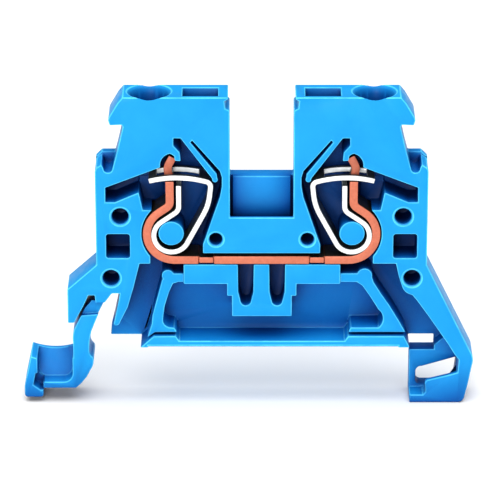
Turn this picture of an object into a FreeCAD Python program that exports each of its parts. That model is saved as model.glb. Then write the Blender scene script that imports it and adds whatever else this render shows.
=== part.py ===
import FreeCAD, Part
import math
import os

# Two-conductor DIN rail terminal block with cage clamps.
# Millimetres. The origin is on the underside of the housing, where it rests on the rail, at mid width.
# +X points to the fixed foot, +Y to the closed back wall, +Z away from the rail.
# Outlines lie in the XZ plane. "Depth" is measured from the open front face towards the back wall.

# ---- driving dimensions ----
WIDTH = 4.0                 # housing width along the rail
WALL = 0.5                  # closed back wall
POCKET = WIDTH - WALL       # depth of the open cavities
TOP = 27.1                  # top face above the rail
GAP_FLOOR = 14.3            # front wall top in the middle gap
GAP_WALL_TOP = 18.0         # back wall top in the middle gap
GAP_WALL_DEPTH = 2.04
GAP_HALF = 3.2              # half the width of the middle gap
BUS_FLOOR = 9.15            # underside of the busbar channel
CHANNEL_TOP = 10.42         # top of the busbar channel
RIB_SETBACK = 0.35          # how far the lower ribs lie behind the front face
SEAT_END = 15.1             # right end of the face that lies on the rail
JAW_X = 15.2                # left edge of the fixed jaw
PAD_BOTTOM = 14.9           # lower edge of the raised pad behind the wire seat

FUNNEL_X = 11.25            # wire entry, from the middle
FUNNEL_DEPTH = 1.95
FUNNEL_MOUTH_R = 2.25       # wider than the housing, so it dips both side faces
FUNNEL_LIP = 0.32           # height of the mouth's steep lip
FUNNEL_LIP_R = 1.93
FUNNEL_THROAT_R = 1.5
THROAT_TOP = 24.6
THROAT_BOTTOM = 21.5
CHANNEL_R = 1.2             # narrow wire channel below the throat
CHANNEL_BOTTOM = 17.8

BOSS_X = 9.12
BOSS_Z = 12.53
BOSS_R = 1.28

BUS_THICK = 0.82
BUS_WIDE = 3.25
BUS_FRONT = 0.12            # depth of the busbar's front edge
BUS_Z = 9.63                # centre line of the straight part
BUS_BEND_R = 2.81
TONGUE_WIDE = 1.3
TONGUE_START = 18.1         # height where the strip narrows to its tongue

SPRING_THICK = 0.5
SPRING_WIDE = 3.1
SPRING_FRONT = 0.15
SPRING_RAIL = 0.6           # side rails of the cage window
LOOP_X = 9.1
LOOP_Z = 12.27
LOOP_R = 1.78

HINGE_GAP = 0.05            # split between the housing and the rail latch

FRONT = -WIDTH / 2


# ---- helpers ----
def point(x, z):
    return FreeCAD.Vector(x, 0, z)


def outline(path):
    """Closed face from points (x, z); ((xm, zm), (xe, ze)) is an arc through m to e."""
    edges = []
    here = path[0]
    for step in path[1:] + [path[0]]:
        if isinstance(step[0], tuple):
            middle, end = step
            edges.append(Part.Arc(point(*here), point(*middle), point(*end)).toShape())
            here = end
        else:
            edges.append(Part.makeLine(point(*here), point(*step)))
            here = step
    return Part.Face(Part.Wire(edges))


def plate(path, near=0.0, far=WIDTH):
    """Solid between two depths with the given outline."""
    solid = outline(path).extrude(FreeCAD.Vector(0, far - near, 0))
    solid.translate(FreeCAD.Vector(0, FRONT + near, 0))
    return solid


def block(x0, x1, z0, z1, near=0.0, far=WIDTH):
    return plate([(x0, z0), (x1, z0), (x1, z1), (x0, z1)], near, far)


def peg(x, z, radius, near, far):
    place = FreeCAD.Vector(x, FRONT + near, z)
    return Part.makeCylinder(radius, far - near, place, FreeCAD.Vector(0, 1, 0))


def mirrored(shape):
    return shape.mirror(FreeCAD.Vector(0, 0, 0), FreeCAD.Vector(1, 0, 0))


def both_sides(shape):
    return [shape, mirrored(shape)]


def rounded_edges(solid, radius, choose):
    """Fillet the edges for which choose(edge) is true."""
    return solid.makeFillet(radius, [edge for edge in solid.Edges if choose(edge)])


def along_depth(edge):
    """True for a straight edge that runs from front to back."""
    if len(edge.Vertexes) != 2:
        return False
    run = edge.Vertexes[1].Point - edge.Vertexes[0].Point
    return abs(run.y) > 0.1 and abs(run.x) + abs(run.z) < 1e-6


def soft_block(x0, x1, z0, z1, near, far, radius):
    return rounded_edges(block(x0, x1, z0, z1, near, far), radius, along_depth)


def bent_strip(start, heading, bends, thick, wide, near):
    """Strip bent from flat stock: bends are (length,) for a straight or (radius, degrees) for a bend.

    A positive angle turns left, seen from the front with +X to the right and +Z up.
    """
    half = thick / 2
    x, z = start
    left, right = [], []

    def sides(x, z, heading):
        across = math.radians(heading + 90)
        dx, dz = half * math.cos(across), half * math.sin(across)
        return (x + dx, z + dz), (x - dx, z - dz)

    first_left, first_right = sides(x, z, heading)
    left.append(first_left)
    right.append(first_right)
    for bend in bends:
        if len(bend) == 1:
            angle = math.radians(heading)
            x += bend[0] * math.cos(angle)
            z += bend[0] * math.sin(angle)
            next_left, next_right = sides(x, z, heading)
            left.append(next_left)
            right.append(next_right)
            continue
        radius, turn = bend
        side = math.copysign(1, turn)
        towards = math.radians(heading + 90 * side)
        centre_x = x + radius * math.cos(towards)
        centre_z = z + radius * math.sin(towards)
        stops = []
        for part_turn in (turn / 2, turn):
            out = towards + math.pi + math.radians(part_turn)
            stop_x = centre_x + radius * math.cos(out)
            stop_z = centre_z + radius * math.sin(out)
            stops.append(sides(stop_x, stop_z, heading + part_turn))
        left.append((stops[0][0], stops[1][0]))
        right.append((stops[0][1], stops[1][1]))
        heading += turn
        x, z = stop_x, stop_z
    path = left + [last_point(right)] + reversed_path(right)
    return plate(path, near, near + wide)


def last_point(path):
    step = path[-1]
    return step[1] if isinstance(step[0], tuple) else step


def reversed_path(path):
    """The same path walked backwards, without its last point."""
    steps = []
    for index in range(len(path) - 1, 0, -1):
        step = path[index]
        before = last_point(path[:index])
        steps.append((step[0], before) if isinstance(step[0], tuple) else before)
    return steps


# ---- housing ----
def tower():
    """Right tower with its marker groove, lead-in corner and shoulder post."""
    return plate([
        (0, BUS_FLOOR), (16.72, BUS_FLOOR), (16.72, 19.2), (16.6, 19.6), (16.05, 20.0), (15.85, 19.6),
        ((15.4, 19.12), (14.95, 19.5)), (14.4, 21.6), (13.85, 24.0), (13.95, 24.2), (15.15, 24.15),
        (15.32, 24.7), (15.2, 25.05), (14.35, 26.5), (13.85, TOP), (3.35, TOP), (3.35, 26.9),
        (3.72, 26.7), (3.65, 25.95), (GAP_HALF, 25.7), (GAP_HALF, GAP_FLOOR), (0, GAP_FLOOR)])


def marker_pocket_back():
    """Wall that closes the marker pocket at the back."""
    return plate([(14.5, 18.9), (14.55, 20.3), (16.1, 20.3), (16.72, 19.7), (16.72, 18.9)], 3.0, WIDTH)


def gap_back_wall():
    return block(-GAP_HALF - 0.1, GAP_HALF + 0.1, BUS_FLOOR, GAP_WALL_TOP, GAP_WALL_DEPTH, WIDTH)


def probe_shaft():
    """Opening between the two walls of the middle gap, down to the busbar."""
    return block(-GAP_HALF, GAP_HALF, BUS_FLOOR + 0.1, GAP_WALL_TOP, WALL, GAP_WALL_DEPTH)


def gap_groove():
    """Narrow groove between the back wall of the gap and the right tower."""
    return block(GAP_HALF - 0.25, GAP_HALF, CHANNEL_TOP, GAP_WALL_TOP + 0.1, GAP_WALL_DEPTH - 0.1, 2.6)


def lower_body():
    """Everything below the busbar, at full depth: left root, back plate and the hooked right foot."""
    return plate([
        (-16.72, BUS_FLOOR), (-19.72, 6.45), (-19.72, 2.75), (-19.1, 2.75), (-18.1, 4.65), (-17.6, 5.8),
        (-16.95, 5.8), (-16.88, 5.05), (-15.9, 5.05), (-15.2, 6.0), (-14.4, 6.0), (-14.5, 5.3),
        (-15.05, 2.7), (-15.4, 1.2), (-15.5, 0), (SEAT_END, 0), (SEAT_END, 0.06), (17.75, 0.06),
        (17.75, -1.05), (JAW_X, -1.05), (JAW_X, -6.1), (20.1, -6.1), ((20.6, -5.95), (20.85, -5.45)),
        (21.15, -4.2), (21.55, -2.0), ((21.65, -1.4), (21.55, -0.8)), (16.72, BUS_FLOOR)])


def lower_pocket():
    """Open pocket between the thin left leg and the right leg."""
    return plate([
        (-12.35, 9.28), (-13.0, 6.6), (-13.6, 4.5), (-14.4, 2.85), ((-14.7, 2.5), (-15.1, 2.6)),
        (-16.5, 2.6), (-16.5, -0.5), (17.8, -0.5), (18.45, 0.1), (19.0, 0.5), (17.0, 3.5),
        (15.75, 5.3), (15.3, 5.85), ((14.6, 6.2), (14.25, 6.8)), (13.9, 7.9), (13.6, 9.28)], 0, POCKET)


def foot_recess():
    """Front recess over the jaw plate of the right foot."""
    return plate([
        (14.0, -0.3), (17.6, -0.3), (18.5, 0.4), (19.0, 0.5), (19.75, -0.75), (20.2, -1.35), (20.1, -2.75),
        (19.3, -3.0), (17.2, -3.55), ((16.85, -3.75), (16.8, -4.2)), (16.85, -4.95), (16.6, -5.25),
        (14.0, -5.25)], 0, 2.1)


def foot_slot():
    """Through slot that lets the jaw of the right foot spring."""
    return plate([
        (17.4, -5.05), (18.5, -4.9), (19.8, -4.55), (20.1, -2.3), ((20.05, -2.0), (19.8, -1.98)),
        (16.5, -2.98), ((16.05, -3.15), (15.9, -3.6)), (15.9, -4.3), ((16.0, -4.8), (16.4, -5.05))],
        0.6, WIDTH)


def bottom_bar():
    """Bar that rests on the rail, with raised ends."""
    return plate([
        (-12.38, 0), (-11.0, 1.28), (-8.75, 1.28), (-8.4, 0.75), (8.5, 0.75), (8.85, 1.28),
        (14.55, 1.28), (SEAT_END, 0.15), (SEAT_END, 0)], 0.05, WIDTH - 0.1)


def bar_chamfer():
    """Cut along the lower front edge of the bar, between its raised ends."""
    left, right = -11.6, 14.0
    corners = [(FRONT - 0.1, -0.1), (FRONT + 0.45, -0.1), (FRONT - 0.1, 0.38), (FRONT - 0.1, -0.1)]
    cut = Part.makePolygon([FreeCAD.Vector(left, y, z) for y, z in corners])
    return Part.Face(cut).extrude(FreeCAD.Vector(right - left, 0, 0))


def left_rib():
    """Slanted rib under the left clamp, with its arm and round knob."""
    rib = plate([
        (-10.1, 7.4), (-10.7, 5.0), (-11.1, 3.5), (-11.2, 2.5), (-11.65, 1.0), (-10.85, 1.6), (-8.62, 1.6),
        (-8.9, 2.08), (-9.3, 2.12), ((-9.8, 2.35), (-10.04, 3.0)), (-9.85, 4.5), (-9.4, 6.0), (-9.0, 6.95),
        (-8.4, 7.15), (-7.8, 7.15), (-7.8, 8.08), (-9.2, 8.08)], RIB_SETBACK, WIDTH - 0.1)
    web = plate([(-11.6, 0.5), (-8.95, 0.9), (-8.95, 1.8), (-10.8, 1.8), (-11.35, 1.2)], 1.0, WIDTH - 0.1)
    return [rib, web, peg(-9.5, 7.85, 0.62, RIB_SETBACK, WIDTH - 0.1)]


def right_rib():
    """Slanted rib under the right clamp, wider at its foot than the left one."""
    rib = plate([
        (7.9, 7.15), (9.7, 7.12), (10.25, 6.7), (11.0, 5.6), (11.9, 4.1), ((12.38, 3.0), (11.95, 2.12)),
        (9.1, 2.12), (8.88, 1.6), (14.7, 1.6), (14.0, 2.9), (13.0, 4.6), (12.2, 5.8), (11.4, 7.1),
        (11.2, 7.7), (10.2, 8.1), (7.9, 8.1)], RIB_SETBACK, WIDTH - 0.1)
    web = plate([(9.1, 0.9), (14.6, 0.5), (14.3, 1.7), (9.1, 1.7)], 1.0, WIDTH - 0.1)
    return [rib, web, peg(10.45, 7.85, 0.78, RIB_SETBACK, WIDTH - 0.1)]


def centre_block():
    """Stepped block under the busbar."""
    return plate([
        (-7.9, BUS_FLOOR), (-7.9, 7.0), (-3.5, 7.0), (-3.5, 5.7), (-3.0, 5.7), (-3.0, 3.45), (3.08, 3.45),
        (3.08, 5.7), (3.55, 5.7), (3.55, 7.0), (7.98, 7.0), (7.98, BUS_FLOOR)], 0.15, WIDTH - 0.1)


def centre_slot(middle):
    """Round-ended slot in the centre block, tapered over its lower part."""
    return plate([
        (middle - 0.8, BUS_FLOOR + 0.1), (middle - 0.76, 6.1), (middle - 0.52, 5.1),
        ((middle, 4.65), (middle + 0.52, 5.1)), (middle + 0.76, 6.1), (middle + 0.8, BUS_FLOOR + 0.1)], 0, 2.9)


def clamp_cavity():
    """Right clamp cavity, open to the front, with the flexible blade guide left standing in it."""
    return plate([
        (15.7, 15.95), (15.7, 17.5), (10.15, 19.68), ((9.75, 20.85), (9.15, 21.15)), (8.75, 20.9),
        (8.7, 20.4), (8.1, 20.35), (8.2, 21.3), (8.82, 22.0), (8.82, 22.78), (8.1, 22.78), (7.8, 22.35),
        (4.95, 18.45), ((4.6, 18.1), (4.45, 18.55)), (4.5, 19.0), (7.12, 22.35), (6.95, 22.55),
        (4.2, 19.3), (4.0, 18.6), (4.0, 17.6), (4.2, 16.5), (5.05, 14.0), (5.7, 12.0), (5.92, 11.4),
        (5.92, BUS_FLOOR), (11.25, BUS_FLOOR), (11.25, 10.1), ((12.12, 12.47), (11.05, 15.1)),
        (11.95, 15.1), (12.35, 17.0), (14.75, 15.95)], 0, POCKET)


def cavity_floor_notch():
    """Shallow step in the back wall behind the busbar, beside the raised pad."""
    return block(11.0, 11.9, 13.4, PAD_BOTTOM, POCKET - 0.1, POCKET + 0.25)


def cavity_pad():
    """Raised pad on the back wall behind the wire seat."""
    return block(9.95, 12.4, PAD_BOTTOM, 17.6, POCKET - 0.15, POCKET + 0.1)


def wire_funnel():
    """Round wire entry: a wide mouth that cuts both side faces, a throat and a narrow channel."""
    up = FreeCAD.Vector(0, 0, 1)
    centre_y = FRONT + FUNNEL_DEPTH
    lip_bottom = TOP - FUNNEL_LIP

    def centre(z):
        return FreeCAD.Vector(FUNNEL_X, centre_y, z)

    lip = Part.makeCone(FUNNEL_LIP_R, FUNNEL_MOUTH_R, FUNNEL_LIP, centre(lip_bottom), up)
    cone = Part.makeCone(FUNNEL_THROAT_R, FUNNEL_LIP_R, lip_bottom - THROAT_TOP, centre(THROAT_TOP), up)
    throat = Part.makeCylinder(FUNNEL_THROAT_R, THROAT_TOP - THROAT_BOTTOM, centre(THROAT_BOTTOM), up)
    channel = Part.makeCylinder(CHANNEL_R, THROAT_BOTTOM - CHANNEL_BOTTOM, centre(CHANNEL_BOTTOM), up)
    return lip.multiFuse([cone, throat, channel])


def blade_slot():
    """Screwdriver slot from the top face to the spring's shoulder, closed at front and back."""
    return plate([
        (7.9, TOP + 0.1), (4.35, TOP + 0.1), (4.35, 25.4), (7.0, 23.0), (8.3, 22.4), (8.6, 22.7),
        (8.6, 23.6), (7.9, 24.6)], 0.55, 3.05)


def sockets():
    """Round sockets and the square marker window in the front face, on the right."""
    rims = []
    for x, z, radius in ((14.25, 14.4, 0.84), (15.25, 7.7, 0.84), (4.62, 11.93, 0.65)):
        rims.append(peg(x, z, radius, 0, 3.2))
        rims.append(Part.makeCone(radius + 0.16, radius, 0.16, FreeCAD.Vector(x, FRONT, z),
                                  FreeCAD.Vector(0, 1, 0)))
    rims.append(soft_block(13.3, 15.7, 9.9, 12.5, 0, 2.4, 0.28))
    rims.append(soft_block(13.3, 15.7, 9.9, 11.9, 0, 3.3, 0.28))
    return rims


def make_housing():
    solid = lower_body().multiFuse(both_sides(tower()) + both_sides(marker_pocket_back()) + [gap_back_wall()])
    pockets = [lower_pocket(), foot_recess(), probe_shaft(),
               block(-6.0, 6.0, BUS_FLOOR, CHANNEL_TOP, 0, POCKET)]
    for cut in (clamp_cavity(), wire_funnel(), blade_slot(), gap_groove()):
        pockets += both_sides(cut)
    solid = solid.cut(pockets)
    inner = [bottom_bar(), centre_block()] + left_rib() + right_rib()
    for part in (peg(BOSS_X, BOSS_Z, BOSS_R, 0.1, POCKET + 0.1), cavity_pad()):
        inner += both_sides(part)
    solid = solid.multiFuse(inner)
    openings = [centre_slot(-1.6), centre_slot(1.58), foot_slot(), bar_chamfer()]
    for cut in sockets() + [cavity_floor_notch()]:
        openings += both_sides(cut)
    solid = solid.cut(openings).removeSplitter()
    return solid


# ---- rail latch ----
def latch_pocket():
    """Screwdriver pocket with a ramp for its back wall and round lower corners."""
    mouth = plate([
        (-22.95, 1.0), (-22.95, -2.9), ((-22.7, -3.6), (-22.1, -3.85)), (-20.3, -3.85),
        ((-19.6, -3.55), (-19.35, -2.9)), (-19.35, 1.0)], 0, POCKET)
    left, right = -24, -19
    corners = [(0, 1.0), (POCKET, 1.0), (POCKET, -1.4), (1.75, -3.9), (0, -3.9), (0, 1.0)]
    ramp = Part.makePolygon([FreeCAD.Vector(left, FRONT + depth, z) for depth, z in corners])
    return mouth.common(Part.Face(ramp).extrude(FreeCAD.Vector(right - left, 0, 0)))


def make_rail_latch():
    arm_top = 5.05 - HINGE_GAP
    solid = plate([
        (-17.3, arm_top), (-18.0, 4.2), (-18.6, 3.1), (-19.1, 2.0), ((-19.25, 1.3), (-19.25, 0.6)),
        (-19.25, -1.15), ((-21.3, -1.45), (-23.6, -1.0)), (-24.3, -4.3), (-24.3, -5.2),
        ((-24.2, -5.45), (-23.95, -5.55)), (-22.65, -5.55), ((-22.45, -5.45), (-22.38, -5.2)),
        (-22.38, -4.55), (-19.05, -4.55), (-18.5, -4.05), (-17.9, -3.3), (-17.5, -2.5),
        ((-17.2, -1.8), (-17.2, -1.15)), ((-17.5, -0.8), (-17.62, -0.3)), (-17.55, 0.8), (-17.35, 1.8),
        (-17.0, 2.7), (-16.6, 3.7), (-15.95, arm_top)], 0.1, WIDTH)
    neck_relief = plate([(-17.5, 5.2), (-15.7, 5.2), (-16.6, 3.7), (-18.4, 3.55)], 0, 0.55)
    corner_recess = plate([(-23.15, -2.9), (-23.4, -4.2), (-22.62, -4.8), (-22.38, -4.65), (-22.38, -2.9)], 0, 1.75)
    return solid.cut([latch_pocket(), neck_relief, corner_recess]).removeSplitter()


# ---- busbar ----
def busbar_half():
    """Left half: from the middle outwards, round the boss, up through the cage and into the tongue."""
    bends = [(8.77,), (BUS_BEND_R, -145), (1.0,), (0.75, 55), (1.95,), (1.2, 12), (0.7,), (1.3, -40), (0.75,)]
    strip = bent_strip((0, BUS_Z), 180, bends, BUS_THICK, BUS_WIDE, BUS_FRONT)
    tongue_near = BUS_FRONT + (BUS_WIDE - TONGUE_WIDE) / 2
    tongue_far = tongue_near + TONGUE_WIDE
    beside = [block(-12, -7, TONGUE_START, 22, near, far)
              for near, far in ((0, tongue_near), (tongue_far, WIDTH))]
    return strip.cut(beside)


def busbar_necks(strip):
    """Thinner stretches between narrow grooves, one each side of the middle."""
    cuts = []
    for side in (-1, 1):
        near, far = sorted((side * 4.85, side * 6.35))
        cuts.append(block(near, far, BUS_Z + 0.3, BUS_Z + 0.5))
        cuts.append(block(near, far, BUS_Z - 0.5, BUS_Z - 0.29))
        for groove in (near, far):
            cuts.append(block(groove - 0.05, groove + 0.05, BUS_Z - 0.5, BUS_Z + 0.5, 0, BUS_FRONT + 0.2))
    return strip.cut(cuts)


def make_busbar():
    half = busbar_half()
    return busbar_necks(half.fuse(mirrored(half)).removeSplitter())


# ---- cage springs ----
LEG_HEADING = 62            # slope of the long leg, degrees
CONTACT_HEADING = 215       # slope of the S-bend between the contact leg and the loop
S_BEND_R = 0.9
S_STRAIGHT = 1.7
CONTACT_LENGTH = 2.2
SPLIT_ANGLE = 0.6           # thin split between the loop and the leg, degrees


def spring_loop():
    """Contact leg on the busbar, S-bend and loop round the boss; it ends where the long leg starts."""
    bends = [(CONTACT_LENGTH,), (S_BEND_R, CONTACT_HEADING - 270), (S_STRAIGHT,),
             (LOOP_R, 360 + LEG_HEADING - SPLIT_ANGLE - CONTACT_HEADING)]
    loop_entry = math.radians(CONTACT_HEADING - 90)
    entry_x = -LOOP_X + LOOP_R * math.cos(loop_entry)
    entry_z = LOOP_Z + LOOP_R * math.sin(loop_entry)
    slope = math.radians(CONTACT_HEADING)
    start_x = entry_x - S_STRAIGHT * math.cos(slope) + S_BEND_R * (1 + math.sin(slope))
    start_z = entry_z - S_STRAIGHT * math.sin(slope) - S_BEND_R * math.cos(slope) + CONTACT_LENGTH
    return bent_strip((start_x, start_z), 270, bends, SPRING_THICK, SPRING_WIDE, SPRING_FRONT)


def spring_cage():
    """Long leg, shoulder and arched top with the window that the tongue passes through."""
    around = math.radians(LEG_HEADING - 90)
    start = (-LOOP_X + LOOP_R * math.cos(around), LOOP_Z + LOOP_R * math.sin(around))
    bends = [(3.6,), (5.5, 22), (0.88,), (0.55, 80), (11.0, 30.5)]
    strip = bent_strip(start, LEG_HEADING, bends, SPRING_THICK, SPRING_WIDE, SPRING_FRONT)
    window_near = SPRING_FRONT + SPRING_RAIL
    window_far = SPRING_FRONT + SPRING_WIDE - SPRING_RAIL
    return strip.cut(soft_block(-10.6, -6.3, 17.5, 20.0, window_near, window_far, 0.02))


def make_parts():
    loop, cage = spring_loop(), spring_cage()
    return {
        "housing": make_housing(),
        "rail_latch": make_rail_latch(),
        "busbar": make_busbar(),
        "left_spring_loop": loop,
        "left_spring_cage": cage,
        "right_spring_loop": mirrored(loop),
        "right_spring_cage": mirrored(cage),
    }


os.makedirs("parts", exist_ok=True)
for name, shape in make_parts().items():
    print(name, "valid", shape.isValid(), "solids", len(shape.Solids), "volume", round(shape.Volume, 2))
    shape.exportStep("parts/" + name + ".step")
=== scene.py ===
import math
import bmesh
import bpy
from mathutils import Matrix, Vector


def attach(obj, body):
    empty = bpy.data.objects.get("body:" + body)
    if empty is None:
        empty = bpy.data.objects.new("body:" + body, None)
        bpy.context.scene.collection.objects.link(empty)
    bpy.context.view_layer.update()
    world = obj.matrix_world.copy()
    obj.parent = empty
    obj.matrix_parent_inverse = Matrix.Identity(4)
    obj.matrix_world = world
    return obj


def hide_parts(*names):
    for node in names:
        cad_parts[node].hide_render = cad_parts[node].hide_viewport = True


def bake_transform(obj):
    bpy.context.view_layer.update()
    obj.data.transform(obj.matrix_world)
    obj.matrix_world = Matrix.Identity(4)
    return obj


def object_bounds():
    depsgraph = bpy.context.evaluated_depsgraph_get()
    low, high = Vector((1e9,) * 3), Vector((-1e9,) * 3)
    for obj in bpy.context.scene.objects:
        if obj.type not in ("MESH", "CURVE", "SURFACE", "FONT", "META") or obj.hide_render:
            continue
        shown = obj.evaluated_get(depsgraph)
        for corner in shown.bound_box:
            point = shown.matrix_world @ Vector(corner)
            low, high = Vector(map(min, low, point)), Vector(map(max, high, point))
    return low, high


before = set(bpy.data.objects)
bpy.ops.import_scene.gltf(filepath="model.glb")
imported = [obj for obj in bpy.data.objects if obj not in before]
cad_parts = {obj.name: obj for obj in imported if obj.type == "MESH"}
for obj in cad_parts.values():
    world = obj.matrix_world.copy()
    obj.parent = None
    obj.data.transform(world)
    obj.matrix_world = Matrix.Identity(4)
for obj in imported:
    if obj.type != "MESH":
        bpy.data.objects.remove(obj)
cad_low, cad_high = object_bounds()

MM = 0.001
MOULDED_EDGE = 0.1 * MM         # rounded edges of the plastic
SHEARED_EDGE = 0.05 * MM        # broken edges of the stamped metal
SHARP_ANGLE = math.radians(36)
SMOOTH_ANGLE = math.radians(50)
FLAT_ANGLE = math.radians(1)    # flatter seams than this are merged away
WELD = 1e-6                     # points nearer than this, in metres, are one point
NEAR = 1e-5                     # reach of a test for a point on a face of the part
SHEARED_NORMAL = 0.35           # least share of a face's normal along the strip's width
NECK_TOP = 5.05 * MM            # where the rail latch's thin neck leaves the housing
NECK_END = 3.6 * MM
NECK_CUTS = 6
RIM_X = 11.25 * MM              # wire entries, from the middle
RIM_R = 1.4 * MM
DIP_TOP = 0.03 * MM             # the dips that the wire entries cut in the side faces, below the top
DIP_BOTTOM = 0.7 * MM
SPLIT = Vector((7.5, 11.4)) * MM        # where a spring's loop meets its long leg, from the middle and up
SPLIT_R = 0.3 * MM


# ---- meshes ----
def clean_source(node):
    """bmesh of a CAD node with doubled points welded and flat faces merged."""
    mesh = bmesh.new()
    mesh.from_mesh(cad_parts[node].data)
    bmesh.ops.remove_doubles(mesh, verts=mesh.verts, dist=WELD)
    bmesh.ops.dissolve_limit(mesh, angle_limit=FLAT_ANGLE, verts=mesh.verts, edges=mesh.edges)
    return mesh


def stays_sharp(vertex):
    """True on the wire entries' thin dips in the side faces, at a spring's split and at the neck."""
    out, up = abs(vertex.co.x), vertex.co.z
    on_side = min(abs(vertex.co.y - cad_low.y), abs(vertex.co.y - cad_high.y)) < NEAR
    in_dip = on_side and abs(out - RIM_X) < RIM_R and DIP_TOP < cad_high.z - up < DIP_BOTTOM
    on_neck = vertex.co.x < 0 and abs(up - NECK_TOP) < WELD
    return in_dip or on_neck or (Vector((out, up)) - SPLIT).length < SPLIT_R


def round_edges(mesh, radius):
    """Round the sharp edges within the mesh's own box; the new faces get 1 in the face attribute "edge"."""
    low = [min(vertex.co[axis] for vertex in mesh.verts) for axis in range(3)]
    high = [max(vertex.co[axis] for vertex in mesh.verts) for axis in range(3)]
    sharp = [edge for edge in mesh.edges
             if edge.is_manifold and edge.calc_face_angle(0) > SHARP_ANGLE
             and not all(stays_sharp(vertex) for vertex in edge.verts)]
    bmesh.ops.bevel(mesh, geom=sharp, offset=radius, offset_type="OFFSET", segments=2, profile=0.5,
                    affect="EDGES", clamp_overlap=False, miter_outer="SHARP", material=1)
    bevel_face_mask = mesh.faces.layers.float.new("edge")
    for face in mesh.faces:
        face[bevel_face_mask] = float(face.material_index)
        face.material_index = 0
    for vertex in mesh.verts:
        for axis in range(3):
            vertex.co[axis] = min(max(vertex.co[axis], low[axis]), high[axis])


def mark_sheared_faces(mesh):
    """Faces that look along the width of a stamped strip get 1 in the face attribute "sheared"."""
    sheared = mesh.faces.layers.float.new("sheared")
    for face in mesh.faces:
        face[sheared] = 1.0 if abs(face.normal.y) > SHEARED_NORMAL else 0.0


def visual_copy(node, name, radius, look, reshape=None):
    """Piece with rounded edges that stands for a CAD node; reshape(mesh) runs before the rounding."""
    mesh = clean_source(node)
    if reshape:
        reshape(mesh)
    round_edges(mesh, radius)
    mark_sheared_faces(mesh)
    data = bpy.data.meshes.new(name)
    mesh.to_mesh(data)
    mesh.free()
    data.shade_smooth()
    data.set_sharp_from_angle(angle=SMOOTH_ANGLE)
    data.materials.append(look)
    piece = bpy.data.objects.new(name, data)
    bpy.context.scene.collection.objects.link(piece)
    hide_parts(node)
    return piece


def open_neck(mesh):
    """Grow the latch's neck up to the housing and cut it into bands, so that it can bend."""
    top = max(vertex.co.z for vertex in mesh.verts)
    for vertex in mesh.verts:
        if vertex.co.z > top - NEAR:
            vertex.co.z = NECK_TOP
    for index in range(1, NECK_CUTS):
        height = NECK_END + (NECK_TOP - NECK_END) * index / NECK_CUTS
        geometry = list(mesh.verts) + list(mesh.edges) + list(mesh.faces)
        bmesh.ops.bisect_plane(mesh, geom=geometry, dist=1e-7, plane_co=(0, 0, height), plane_no=(0, 0, 1))


# ---- materials ----
class Nodes:
    """Shorthand for the node tree of one material."""

    def __init__(self, name):
        self.material = bpy.data.materials.new(name)
        self.material.use_nodes = True
        self.tree = self.material.node_tree
        self.shader = self.tree.nodes["Principled BSDF"]
        self.place = self.tree.nodes.new("ShaderNodeTexCoord").outputs["Object"]

    def link(self, source, target):
        self.tree.links.new(source, target)

    def noise(self, scale, detail=3.0, roughness=0.5):
        node = self.tree.nodes.new("ShaderNodeTexNoise")
        node.inputs["Scale"].default_value = scale
        node.inputs["Detail"].default_value = detail
        node.inputs["Roughness"].default_value = roughness
        self.link(self.place, node.inputs["Vector"])
        return node.outputs["Fac"]

    def attribute(self, name):
        node = self.tree.nodes.new("ShaderNodeAttribute")
        node.attribute_name = name
        return node.outputs["Fac"]

    def span(self, source, low, high, new_low, new_high):
        node = self.tree.nodes.new("ShaderNodeMapRange")
        sockets = ("From Min", "From Max", "To Min", "To Max")
        for socket, value in zip(sockets, (low, high, new_low, new_high)):
            node.inputs[socket].default_value = value
        self.link(source, node.inputs["Value"])
        return node.outputs["Result"]

    def times(self, first, second):
        node = self.tree.nodes.new("ShaderNodeMath")
        node.operation = "MULTIPLY"
        self.link(first, node.inputs[0])
        self.link(second, node.inputs[1])
        return node.outputs["Value"]

    def mix(self, factor, first, second):
        """Colour mix; first and second are RGB tuples or sockets."""
        node = self.tree.nodes.new("ShaderNodeMix")
        node.data_type = "RGBA"
        self.link(factor, node.inputs["Factor"])
        for socket, colour in ((node.inputs[6], first), (node.inputs[7], second)):
            if isinstance(colour, tuple):
                socket.default_value = (*colour, 1)
            else:
                self.link(colour, socket)
        return node.outputs[2]

    def hollows(self, reach):
        """1 on open faces, falling towards 0 deep inside pockets; it masks the painted shade of the
        plastic.
        """
        node = self.tree.nodes.new("ShaderNodeAmbientOcclusion")
        node.samples = 8
        node.inputs["Distance"].default_value = reach
        return node.outputs["AO"]

    def bump(self, height, strength, distance):
        node = self.tree.nodes.new("ShaderNodeBump")
        node.inputs["Strength"].default_value = strength
        node.inputs["Distance"].default_value = distance
        self.link(height, node.inputs["Height"])
        self.link(node.outputs["Normal"], self.shader.inputs["Normal"])


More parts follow.
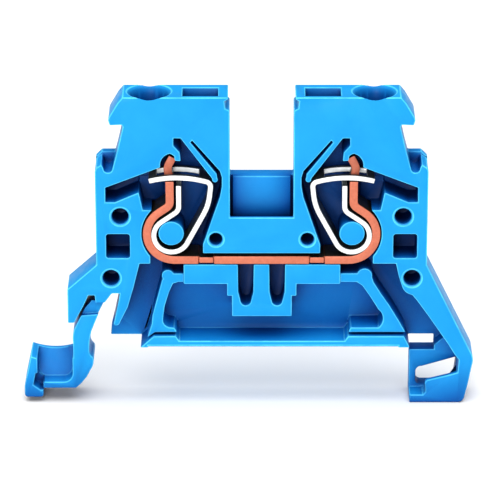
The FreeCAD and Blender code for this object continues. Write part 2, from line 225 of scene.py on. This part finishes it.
def blue_polyamide():
    """Moulded plastic: spark-eroded grain, faint flow clouds, painted highlight on the rounded edges,
    painted shade in the hollows.
    """
    nodes = Nodes("blue_polyamide")
    clouds = nodes.span(nodes.noise(260, 4), 0.35, 0.65, 0, 1)
    body = nodes.mix(clouds, (0.007, 0.298, 0.720), (0.010, 0.324, 0.765))
    # painted highlight: the rounded edge faces are lightened towards pale cyan, in patches
    painted_edge_highlight = nodes.times(nodes.attribute("edge"), nodes.span(nodes.noise(700), 0.3, 0.6, 0.5, 1.0))
    body = nodes.mix(painted_edge_highlight, body, (0.09, 0.64, 1.0))
    # painted shade: the colour darkens towards near-black blue deep in pockets and holes, by ambient
    # occlusion (deep is the painted shade colour)
    painted_shade_openness = nodes.hollows(6 * MM)
    deep = nodes.mix(nodes.span(painted_shade_openness, 0.1, 0.45, 0, 1), (0.000, 0.006, 0.050), (0.000, 0.075, 0.360))
    body = nodes.mix(nodes.span(painted_shade_openness, 0.4, 1.0, 0, 1), deep, body)
    nodes.link(body, nodes.shader.inputs["Base Color"])
    nodes.link(nodes.span(nodes.noise(1500), 0.3, 0.7, 0.34, 0.5), nodes.shader.inputs["Roughness"])
    nodes.shader.inputs["Specular IOR Level"].default_value = 0.12
    nodes.bump(nodes.noise(9000, 5, 0.6), 0.18, 0.02 * MM)
    return nodes.material


def bare_metal(name, cut_colour, cut_shade, painted_shade_face_colour, painted_shade_patch_colour):
    """Stamped strip: bright sheared edges with fine drag lines; near-black rolled faces, which are painted
    shade, lighter towards the cut colour in patches on their rounded edges.
    """
    nodes = Nodes(name)
    drag = nodes.noise(2600, 4, 0.65)
    patches = nodes.span(nodes.noise(500, 3), 0.35, 0.65, 0, 1)
    cut = nodes.mix(nodes.span(drag, 0.35, 0.65, 0, 1), cut_colour, cut_shade)
    # painted shade: the rolled faces get near-black colours, varied in random patches
    face = nodes.mix(patches, painted_shade_face_colour, painted_shade_patch_colour)
    # the rounded edges of the rolled faces are lifted towards the cut colour, in patches along the drag
    # lines
    bevel_face_mask = nodes.times(nodes.attribute("edge"), patches)
    face = nodes.mix(nodes.times(bevel_face_mask, drag), face, cut_colour)
    sheared = nodes.attribute("sheared")
    nodes.link(nodes.mix(sheared, face, cut), nodes.shader.inputs["Base Color"])
    nodes.link(nodes.span(drag, 0.3, 0.7, 0.28, 0.46), nodes.shader.inputs["Roughness"])
    nodes.link(nodes.span(sheared, 0, 1, 0.85, 0.25), nodes.shader.inputs["Metallic"])
    nodes.bump(drag, 0.15, 0.01 * MM)
    return nodes.material


blue = blue_polyamide()
# bright cut colours, then the near-black rolled-face colours, which are painted shade
copper = bare_metal("copper_with_painted_shade", (0.64, 0.17, 0.09), (0.56, 0.14, 0.072),
                    (0.05, 0.05, 0.035), (0.09, 0.07, 0.045))
steel = bare_metal("spring_steel", (0.93, 0.95, 0.94), (0.80, 0.83, 0.82),
                   (0.06, 0.075, 0.07), (0.16, 0.18, 0.17))


# ---- pieces ----
def add_pieces():
    housing = visual_copy("housing", "housing_shell", MOULDED_EDGE, blue)
    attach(housing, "housing")
    latch = visual_copy("rail_latch", "latch_with_neck", MOULDED_EDGE, blue, open_neck)
    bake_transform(latch)
    busbar = visual_copy("busbar", "busbar_strip", SHEARED_EDGE, copper)
    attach(busbar, "housing")
    for side, sign in (("left", -1), ("right", 1)):
        loop = visual_copy(side + "_spring_loop", side + "_loop_strip", SHEARED_EDGE, steel)
        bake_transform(loop)
        cage = visual_copy(side + "_spring_cage", side + "_cage_strip", SHEARED_EDGE, steel)
        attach(cage, side + "_clamp")


# ---- studio ----
FLOOR_Z = cad_low.z - 0.02 * MM
VIEW_ELEVATION = math.radians(22)
LENS = 250
VIEW_WIDTH = 50.5 * MM
TARGET = Vector((-1.17 * MM, cad_low.y, 10.8 * MM))


def aim(thing, target):
    thing.rotation_euler = (target - thing.location).to_track_quat("-Z", "Y").to_euler()


def add_camera():
    data = bpy.data.cameras.new("camera")
    data.lens = LENS
    data.clip_start = 0.01
    camera = bpy.data.objects.new("camera", data)
    bpy.context.scene.collection.objects.link(camera)
    distance = VIEW_WIDTH * LENS / data.sensor_width
    camera.location = TARGET + Vector((0, -math.cos(VIEW_ELEVATION), math.sin(VIEW_ELEVATION))) * distance
    aim(camera, TARGET)
    bpy.context.scene.camera = camera


def add_area(name, place, size, watts):
    data = bpy.data.lights.new(name, "AREA")
    data.shape = "RECTANGLE"
    data.size, data.size_y = size
    data.energy = watts
    light = bpy.data.objects.new(name, data)
    light.location = place
    aim(light, Vector((0, 0, 0.01)))
    bpy.context.scene.collection.objects.link(light)


def add_overhead():
    """Broad soft light from above that reaches the whole floor."""
    data = bpy.data.lights.new("overhead", "SUN")
    data.energy = 3.6
    data.angle = math.radians(70)
    light = bpy.data.objects.new("overhead", data)
    light.rotation_euler = (math.radians(12), 0, 0)
    bpy.context.scene.collection.objects.link(light)


def add_floor():
    bpy.ops.mesh.primitive_plane_add(size=6, location=(0, 0, FLOOR_Z))
    floor = bpy.context.object
    floor.name = "floor"
    material = bpy.data.materials.new("floor")
    material.use_nodes = True
    material.node_tree.nodes["Principled BSDF"].inputs["Base Color"].default_value = (0.9, 0.9, 0.9, 1)
    material.node_tree.nodes["Principled BSDF"].inputs["Roughness"].default_value = 0.9
    floor.data.materials.append(material)


def add_world():
    world = bpy.data.worlds.new("studio")
    world.use_nodes = True
    world.node_tree.nodes["Background"].inputs["Color"].default_value = (1, 1, 1, 1)
    world.node_tree.nodes["Background"].inputs["Strength"].default_value = 0.2
    bpy.context.scene.world = world
    bpy.context.scene.view_settings.view_transform = "Standard"


add_pieces()
add_camera()
add_world()
add_floor()
add_area("key", (-0.09, -0.42, 0.13), (0.16, 0.16), 0.88)
add_overhead()
